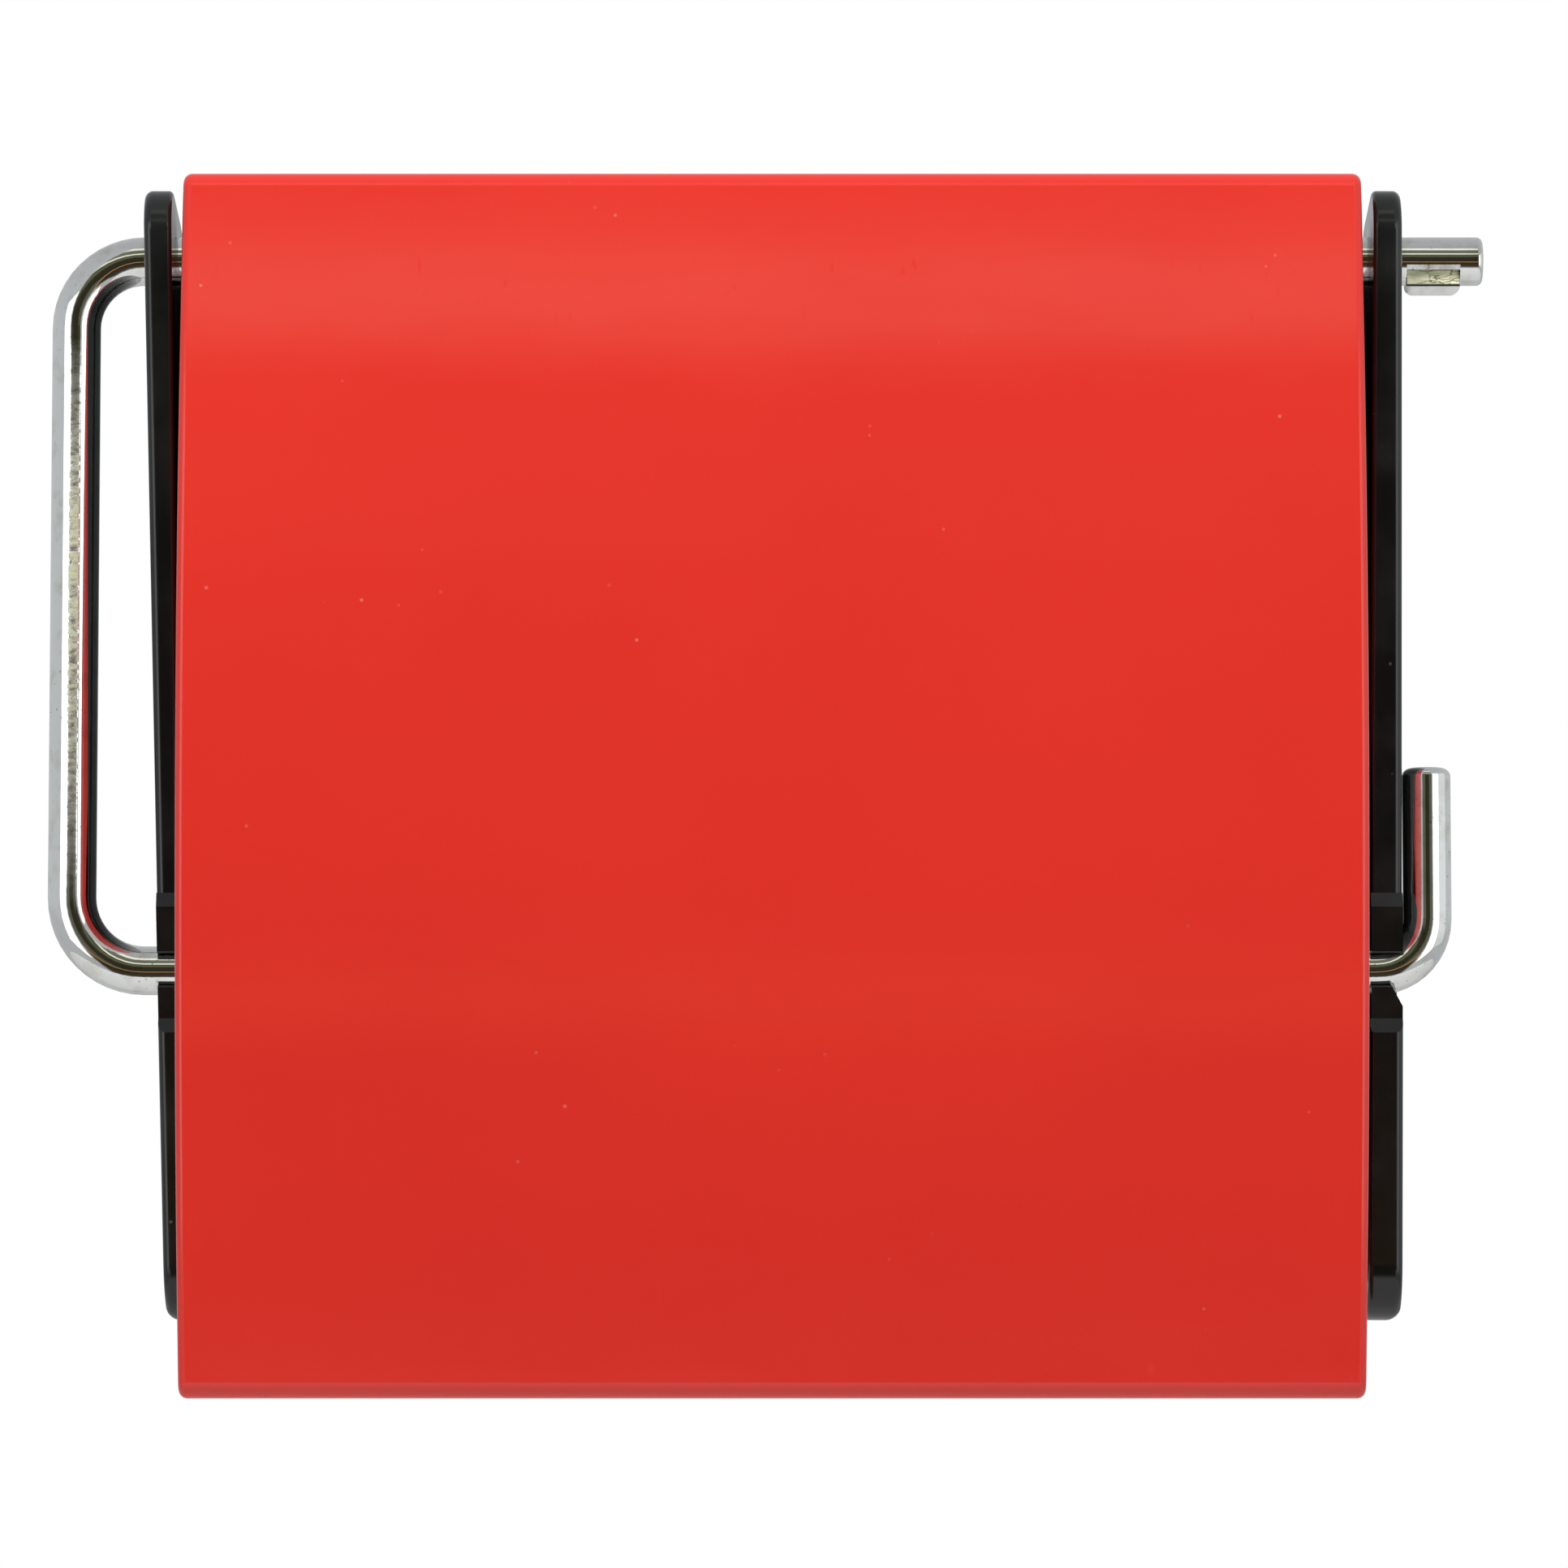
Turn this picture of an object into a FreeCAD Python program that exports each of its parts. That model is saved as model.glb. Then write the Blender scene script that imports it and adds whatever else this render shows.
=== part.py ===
import FreeCAD, Part
import math
import os
import types

import Sketcher

# Wall-mounted toilet roll holder with a hinged cover, in millimetres.
# Row frame: X to the right, Y into the wall, Z up. The origin is on the wall plane,
# midway between the two wall fixings.
# Bracket, clips, arm and cover are all drawn about the hinge bar's axis, and their
# Placements carry that axis to its place in front of the wall.

SIZES = {
    "far": (140, "longer than any body, for cuts that run right through"),
    "spare": (1, "how far a cutting outline runs past what it cuts"),
    # hinge bar and rest position
    "stand_off": (16, "wall plane to hinge bar axis"),
    "hinge_height": (32, "wall fixings up to hinge bar axis"),
    "rest_tilt": (5.5, "lean of the arm at rest, bottom edge forward, degrees"),
    "pivot_play": (0.06, "radial clearance of the bar in its bores"),
    # roll arm
    "wire_radius": (2.5, "bent wire"),
    "arm_drop": (73.35, "hinge bar axis to roll bar axis"),
    "arm_left": (71.7, "mid plane to the arm's side run"),
    "bar_right": (73.2, "mid plane to the hinge bar's free end"),
    "hook_right": (67.05, "mid plane to the hook"),
    "hook_rise": (20.8, "roll bar axis to the hook's tip"),
    "bend_top": (7, "centre line radius, hinge bar to side run"),
    "bend_low": (7.5, "centre line radius, side run to roll bar"),
    "bend_hook": (5.3, "centre line radius, roll bar to hook"),
    "end_round": (0.6, "hinge bar's free end"),
    "tip_round": (0.9, "hook's tip"),
    "ear_start": (65.3, "mid plane to the pinched ear"),
    "ear_length": (5.5, "pinched stretch"),
    "ear_top": (0.45, "upper edge of the pinch, below the bar axis"),
    "ear_waist": (2.2, "left between the two pinched flats, upper edge"),
    "ear_lip": (2.45, "lower edge of the pinch, below the bar axis"),
    "ear_thick": (3.7, "ear's lower lip"),
    "ear_depth": (3.45, "bar axis down to the ear's edge"),
    "ear_corner": (0.8, "ear's lower corners"),
    "ear_bevel": (0.8, "long edges of the ear's lower lip"),
    # wall bracket
    "cheek_inside": (61.6, "mid plane to a cheek's inner face, top"),
    "left_inside_low": (60, "mid plane to the left cheek's inner face, bottom"),
    "right_inside_low": (60.7, "mid plane to the right cheek's inner face, bottom"),
    "cheek_outside": (64.5, "mid plane to a cheek's outer face, top"),
    "left_outside_low": (61.95, "mid plane to the left cheek's outer face, bottom"),
    "right_outside_low": (64.25, "mid plane to the right cheek's outer face, bottom"),
    "cheek_top": (8.5, "front corner of the top outline, before rounding"),
    "cheek_front_top": (7, "front edge, top"),
    "cheek_front_mid": (8.8, "front edge, just above the clip"),
    "cheek_front_low": (11, "front edge, below the clip"),
    "cheek_knee_back": (8, "knee of the top outline, behind the bar axis"),
    "cheek_knee_top": (4.15, "knee of the top outline, above the bar axis"),
    "cheek_wall_top": (0.65, "top outline at the wall, below the bar axis"),
    "cheek_bottom": (108.9, "bottom edge, below the bar axis"),
    "nose_round": (4.4, "front top corner"),
    "knee_round": (12, "knee of the top outline"),
    "foot_round": (1.6, "bottom outer corners, seen from the front"),
    "foot_inset": (4, "trimming outline's inner end, in from a cheek's inner face"),
    "plate_thick": (3, "back plate"),
    "plate_root": (0.6, "back plate's run into a cheek"),
    "plate_top": (1.6, "back plate, below the bar axis"),
    "plate_bottom": (106, "back plate, below the bar axis"),
    "rib_spacing": (46, "between the back plate's two ribs"),
    "rib_width": (2, "back plate rib"),
    "rib_inset": (2, "back plate rib's ends, in from the plate's edges"),
    "rib_height": (1.5, "back plate rib and screw boss, off the plate"),
    "boss_radius": (6.5, "screw boss"),
    "foot_curve": (6, "bottom front corner, seen from the side"),
    "edge_round": (0.8, "outer long edges of the cheeks"),
    "inner_round": (0.5, "inner long edges of the cheeks"),
    # snap clips
    "left_clip_inside": (60.7, "mid plane to the left clip's inner face"),
    "right_clip_inside": (61.1, "mid plane to the right clip's inner face"),
    "clip_top": (65, "clip pocket, below the bar axis"),
    "clip_bottom": (77.8, "clip pocket, below the bar axis"),
    "clip_back": (1.5, "clip pocket's back wall, in front of the bar axis"),
    "clip_front": (9.8, "clip face"),
    "clip_ramp": (1.4, "height of the sloped steps above and below the clip"),
    "seat_play": (0.12, "between the roll bar and its seat"),
    "seat_run_in": (6, "seat's start, in from a cheek's inner face"),
    "seat_rise": (14, "seat's run up along the upturned end of the roll bar"),
    "lip_round": (0.3, "lip edges of the clips"),
    "mouth_above": (1.83, "upper lip, above the roll bar axis"),
    "mouth_below": (1.41, "lower lip, below the roll bar axis"),
    "shoulder_edge": (0.15, "shoulder's lower end, in from the cheek's outer face"),
    "shoulder_drop": (2.2, "sloped shoulder outside the right clip's lower lip"),
    "shoulder_depth": (1.2, "sloped shoulder outside the right clip's lower lip"),
    # cover
    "cover_width": (120.5, "outside"),
    "cover_wall": (1.7, "moulded wall"),
    "cover_top": (8.6, "crest of the top wall, above the bar axis"),
    "cover_bottom": (116.3, "bottom edge, below the bar axis"),
    "bow_front": (20, "front of the bow, in front of the bar axis"),
    "bow_height": (68, "fullest point of the bow, below the bar axis"),
    "bow_radius": (248, "bowed face"),
    "curl_top": (2.1, "bend from the bowed face to the top wall"),
    "curl_low": (2.2, "bend from the bowed face to the bottom wall"),
    "eye_radius": (6.2, "side flange around the hinge bar"),
    "eye_boss": (4.6, "radius of the boss inside the hinge eye"),
    "eye_boss_length": (2, "boss inside the hinge eye"),
    "boss_root": (0.5, "boss's run into the side flange"),
    "hollow_back": (30, "rear end of the cut that hollows the cover, behind the bar axis"),
    "foot_back": (12, "bottom wall's rear edge, in front of the bar axis"),
    "flange_back": (11.6, "side flange's rear corner, in front of the bar axis"),
    "flange_corner": (66, "side flange's rear corner, below the bar axis"),
    "cover_round": (0.9, "edges between the face and its side flanges"),
    # wall fixings
    "fixing_spacing": (80, "between the two wall fixings"),
    "screw_radius": (2, "threaded length, over its crests"),
    "neck_radius": (1.45, "plain neck under the head"),
    "neck_end": (0.5, "plain neck's end, behind the wall plane"),
    "screw_hole": (2.25, "clearance hole"),
    "head_radius": (4, "countersunk head"),
    "head_edge": (0.5, "cylindrical rim of the head"),
    "head_play": (0.25, "radial room round the head in its countersink"),
    "screw_length": (30, "overall"),
    "point_length": (4, "screw's point"),
    "recess_length": (4.2, "cross recess"),
    "recess_width": (0.9, "cross recess"),
    "recess_depth": (1.7, "cross recess"),
}


class Size:
    # a length that knows its number and the sheet expression that it comes from
    def __init__(self, number, text=None):
        self.number = number
        self.text = text or repr(number)

    def __add__(self, other):
        other = as_size(other)
        return Size(self.number + other.number, f"({self.text} + {other.text})")

    def __sub__(self, other):
        other = as_size(other)
        return Size(self.number - other.number, f"({self.text} - {other.text})")

    def __mul__(self, other):
        other = as_size(other)
        return Size(self.number * other.number, f"({self.text} * {other.text})")

    def __truediv__(self, other):
        other = as_size(other)
        return Size(self.number / other.number, f"({self.text} / {other.text})")

    def __neg__(self):
        return Size(-self.number, f"(-{self.text})")


def as_size(value):
    return value if isinstance(value, Size) else Size(value)


def sine(angle):
    return Size(math.sin(math.radians(angle.number)), f"sin({angle.text})")


def cosine(angle):
    return Size(math.cos(math.radians(angle.number)), f"cos({angle.text})")


def bind(item, path, size):
    item.setExpression(path, size.text)


doc = FreeCAD.newDocument("RollHolder")
sheet = doc.addObject("Spreadsheet::Sheet", "Sizes")
for row, (alias, (number, note)) in enumerate(SIZES.items(), 1):
    sheet.set(f"A{row}", alias.replace("_", " "))
    sheet.set(f"B{row}", str(number))
    sheet.setAlias(f"B{row}", alias)
    sheet.set(f"C{row}", note)
doc.recompute()
dim = types.SimpleNamespace(**{
    alias: Size(number, f"Sizes.{alias}") for alias, (number, note) in SIZES.items()
})
zero = Size(0)

# worked out from the driving dimensions
bar_y = -(dim.arm_drop * sine(dim.rest_tilt))
bar_z = -(dim.arm_drop * cosine(dim.rest_tilt))
pivot_radius = dim.wire_radius + dim.pivot_play
seat_radius = dim.wire_radius + dim.seat_play
plate_front = dim.stand_off - dim.plate_thick


# ---- drawing helpers ----

def plane_sketch(body, name, plane, offset=zero, tilt=None):
    made = body.newObject("Sketcher::SketchObject", name)
    support = next(f for f in body.Origin.OriginFeatures if f.Role == plane)
    made.AttachmentSupport = [(support, "")]
    made.MapMode = "FlatFace"
    bind(made, "AttachmentOffset.Base.z", offset)
    if tilt:
        turn = FreeCAD.Rotation(FreeCAD.Vector(-1, 0, 0), tilt.number)
        made.AttachmentOffset = FreeCAD.Placement(FreeCAD.Vector(), turn)
        bind(made, "AttachmentOffset.Rotation.Angle", tilt)
    return made


def place(made, geometry, end, x, y):
    for kind, size in (("DistanceX", x), ("DistanceY", y)):
        rule = Sketcher.Constraint(kind, -1, 1, geometry, end, size.number)
        bind(made, f"Constraints[{made.addConstraint(rule)}]", size)


def set_radius(made, geometry, size):
    rule = Sketcher.Constraint("Radius", geometry, size.number)
    bind(made, f"Constraints[{made.addConstraint(rule)}]", size)


def circle(made, x, y, radius):
    centre = FreeCAD.Vector(x.number, y.number, 0)
    ring = made.addGeometry(Part.Circle(centre, FreeCAD.Vector(0, 0, 1), radius.number))
    place(made, ring, 3, x, y)
    set_radius(made, ring, radius)


def outline(made, corners, closed=True):
    # straight runs between corners (x, y) or (x, y, radius of the rounded corner)
    corners = [tuple(as_size(part) for part in corner) for corner in corners]
    points = [FreeCAD.Vector(corner[0].number, corner[1].number, 0) for corner in corners]
    count = len(corners)
    turns = []
    for here, corner in enumerate(corners):
        if len(corner) < 3:
            turns.append((points[here], points[here], None))
            continue
        back = (points[here - 1] - points[here]).normalize()
        on = (points[(here + 1) % count] - points[here]).normalize()
        half = back.getAngle(on) / 2
        reach = corner[2].number / math.tan(half)
        middle = points[here] + (back + on).normalize() * (corner[2].number / math.sin(half))
        turns.append((points[here] + back * reach, points[here] + on * reach, middle))
    runs = []
    for here in range(count if closed else count - 1):
        start, end = turns[here][1], turns[(here + 1) % count][0]
        runs.append(made.addGeometry(Part.LineSegment(start, end)))
    for here, corner in enumerate(corners):
        if not closed and here == 0:
            place(made, runs[0], 1, *corner)
            continue
        if not closed and here == count - 1:
            place(made, runs[-1], 2, *corner)
            continue
        before, after = runs[here - 1], runs[here]
        start, end, middle = turns[here]
        if middle is None:
            made.addConstraint(Sketcher.Constraint("Coincident", before, 2, after, 1))
            place(made, after, 1, *corner)
            continue
        mark = made.addGeometry(Part.Point(points[here]), True)
        place(made, mark, 1, corner[0], corner[1])
        for run in (before, after):
            made.addConstraint(Sketcher.Constraint("PointOnObject", mark, 1, run))
        left = (start - middle).cross(end - middle).z > 0
        bend, first, last = arc(made, middle, start if left else end, end if left else start)
        if not left:
            first, last = last, first
        made.addConstraint(Sketcher.Constraint("Tangent", before, 2, bend, first))
        made.addConstraint(Sketcher.Constraint("Tangent", bend, last, after, 1))
        set_radius(made, bend, corner[2])


def arc(made, middle, start, end):
    # anticlockwise from start to end; returns the arc and the numbers of its two ends
    ring = Part.Circle(middle, FreeCAD.Vector(0, 0, 1), (start - middle).Length)
    first = math.atan2(start.y - middle.y, start.x - middle.x)
    last = math.atan2(end.y - middle.y, end.x - middle.x)
    if last < first:
        last += 2 * math.pi
    return made.addGeometry(Part.ArcOfCircle(ring, first, last)), 1, 2


def box_outline(made, left, right, low, high):
    outline(made, [(left, low), (right, low), (right, high), (left, high)])


def pad(body, name, profile, length, symmetric=False, backwards=False):
    made = body.newObject("PartDesign::Pad", name)
    made.Profile = profile
    made.SideType = "Symmetric" if symmetric else "One side"
    made.Reversed = backwards
    bind(made, "Length", length)
    doc.recompute()
    return made


def pocket(body, name, profile, length=None, symmetric=False, backwards=False):
    made = body.newObject("PartDesign::Pocket", name)
    made.Profile = profile
    made.SideType = "Symmetric" if symmetric else "One side"
    made.Reversed = backwards
    if length is None:
        made.Type = "ThroughAll"
    else:
        bind(made, "Length", length)
    doc.recompute()
    return made


def revolve(body, name, profile, kind="PartDesign::Revolution"):
    made = body.newObject(kind, name)
    made.Profile = profile
    made.ReferenceAxis = (profile, ["V_Axis"])
    made.Angle = 360
    doc.recompute()
    return made


def round_edges(body, name, base, radius, chosen, kind="PartDesign::Fillet"):
    names = [f"Edge{n}" for n, edge in enumerate(base.Shape.Edges, 1) if chosen(edge)]
    made = body.newObject(kind, name)
    made.Base = (base, names)
    bind(made, "Radius" if kind.endswith("Fillet") else "Size", radius)
    doc.recompute()
    return made


def new_body(label):
    body = doc.addObject("PartDesign::Body", "".join(label.title().split("_")))
    body.Label = label
    return body


def hang_on_hinge(body):
    bind(body, "Placement.Base.y", -dim.stand_off)
    bind(body, "Placement.Base.z", dim.hinge_height)


def lies_at(edge, axis, value, slack=0.02):
    box = edge.BoundBox
    low, high = (box.XMin, box.XMax) if axis == "x" else (box.YMin, box.YMax)
    return abs(low - value) < slack and abs(high - value) < slack


# ---- wall bracket: a moulded U, two cheeks joined by a back plate ----

def trim_to_lean(body, name):
    # the cheeks' outer faces lean in towards the bottom, the left one more, with a rounded foot corner
    made = plane_sketch(body, name, "XZ_Plane")
    foot = -dim.cheek_bottom
    for side, low in ((1, dim.right_outside_low), (-1, dim.left_outside_low)):
        outline(made, [
            (dim.cheek_outside * side, dim.cheek_top + dim.spare),
            (low * side, foot, dim.foot_round),
            ((dim.cheek_inside - dim.foot_inset) * side, foot),
            ((dim.cheek_inside - dim.foot_inset) * side, foot - dim.spare),
            (dim.far * side, foot - dim.spare),
            (dim.far * side, dim.cheek_top + dim.spare),
        ])
    return made


def make_bracket():
    body = new_body("wall_bracket")
    side_view = plane_sketch(body, "SideView", "YZ_Plane")
    outline(side_view, [
        (-dim.cheek_front_top, dim.cheek_top, dim.nose_round),
        (dim.cheek_knee_back, dim.cheek_knee_top, dim.knee_round),
        (dim.stand_off, -dim.cheek_wall_top),
        (dim.stand_off, -dim.cheek_bottom),
        (-dim.cheek_front_low, -dim.cheek_bottom, dim.foot_curve),
        (-dim.cheek_front_low, -dim.clip_bottom - dim.clip_ramp),
        (-dim.clip_front, -dim.clip_bottom),
        (-dim.clip_back, -dim.clip_bottom),
        (-dim.clip_back, -dim.clip_top),
        (-dim.cheek_front_mid, -dim.clip_top),
    ])
    pad(body, "Block", side_view, dim.cheek_outside * 2 + dim.spare, symmetric=True)

    top = dim.cheek_top + dim.spare
    foot = -dim.cheek_bottom - dim.spare
    between = plane_sketch(body, "BetweenCheeks", "XZ_Plane")
    outline(between, [
        (dim.cheek_inside, top),
        (-dim.cheek_inside, top),
        (-dim.left_inside_low, foot),
        (dim.right_inside_low, foot),
    ])
    pocket(body, "Hollow", between, dim.far, symmetric=True)
    lean = trim_to_lean(body, "Lean")
    pocket(body, "LeanCut", lean, dim.far, symmetric=True)

    bore = plane_sketch(body, "PivotBore", "YZ_Plane")
    circle(bore, zero, zero, pivot_radius)
    bored = pocket(body, "PivotBores", bore, dim.far * 2, symmetric=True)

    def outline_edge(edge, inner):
        box = edge.BoundBox
        at_inner = abs(box.Center.x) < dim.cheek_inside.number + 0.1
        if box.XLength > 1.9 or edge.isClosed() or at_inner != inner or box.XMin * box.XMax < 0:
            return False
        beside_clip = -dim.clip_bottom.number - 1.5 < box.Center.z < -dim.clip_top.number + 0.1
        at_foot = box.ZMin < -dim.cheek_bottom.number + dim.foot_round.number - 0.1
        return not beside_clip and not at_foot and box.YMax - box.YLength / 2 < plate_front.number - 0.1

    rounded = round_edges(body, "OuterEdges", bored, dim.edge_round, lambda e: outline_edge(e, False))
    round_edges(body, "InnerEdges", rounded, dim.inner_round, lambda e: outline_edge(e, True))

    plate = plane_sketch(body, "BackPlate", "XZ_Plane", -dim.stand_off)
    root = dim.plate_root
    outline(plate, [
        (dim.cheek_inside + root, -dim.plate_top),
        (-dim.cheek_inside - root, -dim.plate_top),
        (-dim.left_inside_low - root, -dim.plate_bottom),
        (dim.right_inside_low + root, -dim.plate_bottom),
    ])
    pad(body, "PlatePad", plate, dim.plate_thick)

    raised = plane_sketch(body, "RibsAndBosses", "XZ_Plane", -plate_front)
    half = dim.rib_spacing / 2
    fixing_z = -dim.hinge_height
    for side in (1, -1):
        left, right = half * side - dim.rib_width / 2, half * side + dim.rib_width / 2
        low, high = dim.rib_inset - dim.plate_bottom, -dim.plate_top - dim.rib_inset
        box_outline(raised, left, right, low, high)
        circle(raised, dim.fixing_spacing / 2 * side, fixing_z, dim.boss_radius)
    pad(body, "RibPad", raised, dim.rib_height)

    fixings = plane_sketch(body, "FixingCentres", "XZ_Plane", -(plate_front - dim.rib_height))
    for side in (1, -1):
        circle(fixings, dim.fixing_spacing / 2 * side, fixing_z, dim.screw_hole)
    holes = body.newObject("PartDesign::Hole", "FixingHoles")
    holes.Profile = fixings
    doc.recompute()
    holes.DepthType = "ThroughAll"
    holes.ThreadType = "None"
    holes.HoleCutType = "Countersink"
    holes.HoleCutCustomValues = True
    bind(holes, "Diameter", dim.screw_hole * 2)
    bind(holes, "HoleCutDiameter", (dim.head_radius + dim.head_edge + dim.head_play) * 2)
    holes.HoleCutCountersinkAngle = 90
    doc.recompute()
    hang_on_hinge(body)
    return body


# ---- snap clips: the springy C-shaped seats that hold the roll bar when it is folded away ----

def make_clip(label, side):
    body = new_body(label)
    inner_face = dim.right_clip_inside if side > 0 else dim.left_clip_inside
    inside = plane_sketch(body, "SideView", "YZ_Plane", inner_face * side)
    outline(inside, [
        (-dim.clip_back, -dim.clip_bottom),
        (-dim.clip_back, -dim.clip_top),
        (-dim.cheek_front_mid, -dim.clip_top),
        (-dim.clip_front, -dim.clip_top - dim.clip_ramp),
        (-dim.clip_front, -dim.clip_bottom),
    ])
    pad(body, "Block", inside, dim.cheek_outside - inner_face, backwards=side < 0)
    lean = trim_to_lean(body, "Lean")
    pocket(body, "LeanCut", lean, dim.far, symmetric=True)

    run = plane_sketch(body, "BarLine", "XZ_Plane", tilt=dim.rest_tilt)
    start = (inner_face - dim.seat_run_in) * side
    reach, bend = (dim.hook_right, dim.bend_hook) if side > 0 else (dim.arm_left, dim.bend_low)
    outline(run, [
        (start, -dim.arm_drop),
        (reach * side, -dim.arm_drop, bend),
        (reach * side, dim.seat_rise - dim.arm_drop),
    ], closed=False)
    ring = plane_sketch(body, "SeatRing", "YZ_Plane", start)
    circle(ring, bar_y, bar_z, seat_radius)
    doc.recompute()
    seat = body.newObject("PartDesign::SubtractivePipe", "Seat")
    seat.Profile = ring
    seat.Spine = run
    doc.recompute()

    mouth = plane_sketch(body, "Mouth", "YZ_Plane", inner_face * side)
    low, high = bar_z - dim.mouth_below, bar_z + dim.mouth_above
    box_outline(mouth, -dim.clip_front - dim.spare, bar_y, low, high)
    last = pocket(body, "MouthCut", mouth, dim.seat_run_in * 2, symmetric=True)
    if side > 0:
        shoulder = plane_sketch(body, "Shoulder", "XZ_Plane")
        edge, out = dim.cheek_outside - dim.shoulder_edge, dim.cheek_outside + dim.spare
        outline(shoulder, [
            (edge - dim.shoulder_depth, low),
            (out, low),
            (out, low - dim.shoulder_drop),
            (edge, low - dim.shoulder_drop),
        ])
        last = pocket(body, "ShoulderCut", shoulder, dim.far, symmetric=True)

    def lip_edge(edge):
        box = edge.BoundBox
        return lies_at(edge, "y", -dim.clip_front.number) and box.XLength > 1 and (
            abs(box.Center.z - high.number) < 0.1 or abs(box.Center.z - low.number) < 0.1)

    round_edges(body, "LipEdges", last, dim.lip_round, lip_edge)
    hang_on_hinge(body)
    return body


# ---- roll arm: one bent wire, hinge bar above, roll bar below, hook at its free end ----

def make_arm():
    body = new_body("roll_arm")
    run = plane_sketch(body, "WireLine", "XZ_Plane", tilt=dim.rest_tilt)
    outline(run, [
        (dim.bar_right, zero),
        (-dim.arm_left, zero, dim.bend_top),
        (-dim.arm_left, -dim.arm_drop, dim.bend_low),
        (dim.hook_right, -dim.arm_drop, dim.bend_hook),
        (dim.hook_right, dim.hook_rise - dim.arm_drop),
    ], closed=False)
    ring = plane_sketch(body, "WireRing", "YZ_Plane", dim.bar_right)
    circle(ring, zero, zero, dim.wire_radius)
    doc.recompute()
    wire = body.newObject("PartDesign::AdditivePipe", "Wire")
    wire.Profile = ring
    wire.Spine = run
    doc.recompute()

    tip_z = (dim.hook_rise - dim.arm_drop) * cosine(dim.rest_tilt)

    def end_rim(edge, x, z):
        centre = edge.BoundBox.Center
        rim = abs(edge.Length - 2 * math.pi * dim.wire_radius.number) < 0.1
        return rim and abs(centre.x - x.number) < 0.1 and abs(centre.z - z.number) < 0.1

    blunted = round_edges(body, "BarEnd", wire, dim.end_round,
                          lambda e: end_rim(e, dim.bar_right, zero))
    round_edges(body, "HookTip", blunted, dim.tip_round,
                lambda e: end_rim(e, dim.hook_right, tip_z))

    # the bar's lower half is pinched into an ear, which keeps the bar in its bores
    fin = plane_sketch(body, "Fin", "XZ_Plane")
    outline(fin, [
        (dim.ear_start, -dim.ear_top),
        (dim.ear_start, -dim.ear_depth, dim.ear_corner),
        (dim.ear_start + dim.ear_length, -dim.ear_depth, dim.ear_corner),
        (dim.ear_start + dim.ear_length, -dim.ear_top),
    ])
    pad(body, "Ear", fin, dim.ear_thick, symmetric=True)
    pinch = plane_sketch(body, "Pinch", "YZ_Plane", dim.ear_start)
    for side in (1, -1):
        out = dim.wire_radius * side * 2
        outline(pinch, [
            (dim.ear_waist / 2 * side, -dim.ear_top),
            (dim.ear_thick / 2 * side, -dim.ear_lip),
            (out, -dim.ear_lip),
            (out, -dim.ear_top),
        ])
    for side in (1, -1):
        face, edge = dim.ear_thick / 2 * side, (dim.ear_thick / 2 - dim.ear_bevel) * side
        out, below = face + dim.spare * side, -dim.ear_depth - dim.spare
        outline(pinch, [
            (face, dim.ear_bevel - dim.ear_depth),
            (edge, -dim.ear_depth),
            (edge, below),
            (out, below),
            (out, dim.ear_bevel - dim.ear_depth),
        ])
    pocket(body, "PinchCut", pinch, dim.ear_length, backwards=True)
    hang_on_hinge(body)
    return body


# ---- cover: a bowed shell with shallow side flanges, hinged on the bar ----

def heading(angle):
    return FreeCAD.Vector(math.cos(angle), math.sin(angle), 0)


def bowed_arcs(made, inset):
    # top bend, bow and bottom bend, tangent to each other; returns the two bends, their free
    # ends and the point where the line back over the hinge bar touches the eye circle
    bow = dim.bow_radius.number - inset.number
    top = dim.curl_top.number - inset.number
    low = dim.curl_low.number - inset.number
    bow_middle = FreeCAD.Vector((dim.bow_radius - dim.bow_front).number, -dim.bow_height.number, 0)
    top_z = dim.cover_top - dim.curl_top
    low_z = dim.curl_low - dim.cover_bottom

    def bend_middle(height, radius):
        rise = height.number - bow_middle.y
        return FreeCAD.Vector(bow_middle.x - math.sqrt((bow - radius) ** 2 - rise ** 2), height.number, 0)

    def meeting(middle):
        return bow_middle + (middle - bow_middle).normalize() * bow

    top_middle, low_middle = bend_middle(top_z, top), bend_middle(low_z, low)
    eye = dim.eye_radius.number - inset.number
    to_hinge = math.atan2(-top_middle.y, -top_middle.x)
    outward = heading(to_hinge + math.acos((top - eye) / top_middle.Length))
    top_end, low_end = top_middle + outward * top, low_middle + FreeCAD.Vector(0, -low, 0)
    upper, middle, lower = (
        arc(made, top_middle, top_end, meeting(top_middle))[0],
        arc(made, bow_middle, meeting(top_middle), meeting(low_middle))[0],
        arc(made, low_middle, meeting(low_middle), low_end)[0],
    )
    made.addConstraint(Sketcher.Constraint("Tangent", upper, 2, middle, 1))
    made.addConstraint(Sketcher.Constraint("Tangent", middle, 2, lower, 1))
    place(made, middle, 3, dim.bow_radius - dim.bow_front, -dim.bow_height)
    for curve, size in ((upper, dim.curl_top), (middle, dim.bow_radius), (lower, dim.curl_low)):
        set_radius(made, curve, size - inset)
    for curve, height in ((upper, top_z), (lower, low_z)):
        rule = Sketcher.Constraint("DistanceY", -1, 1, curve, 3, height.number)
        bind(made, f"Constraints[{made.addConstraint(rule)}]", height)
    made.addConstraint(Sketcher.Constraint("Vertical", lower, 3, lower, 2))
    return upper, lower, top_end, low_end, outward * eye


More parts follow.
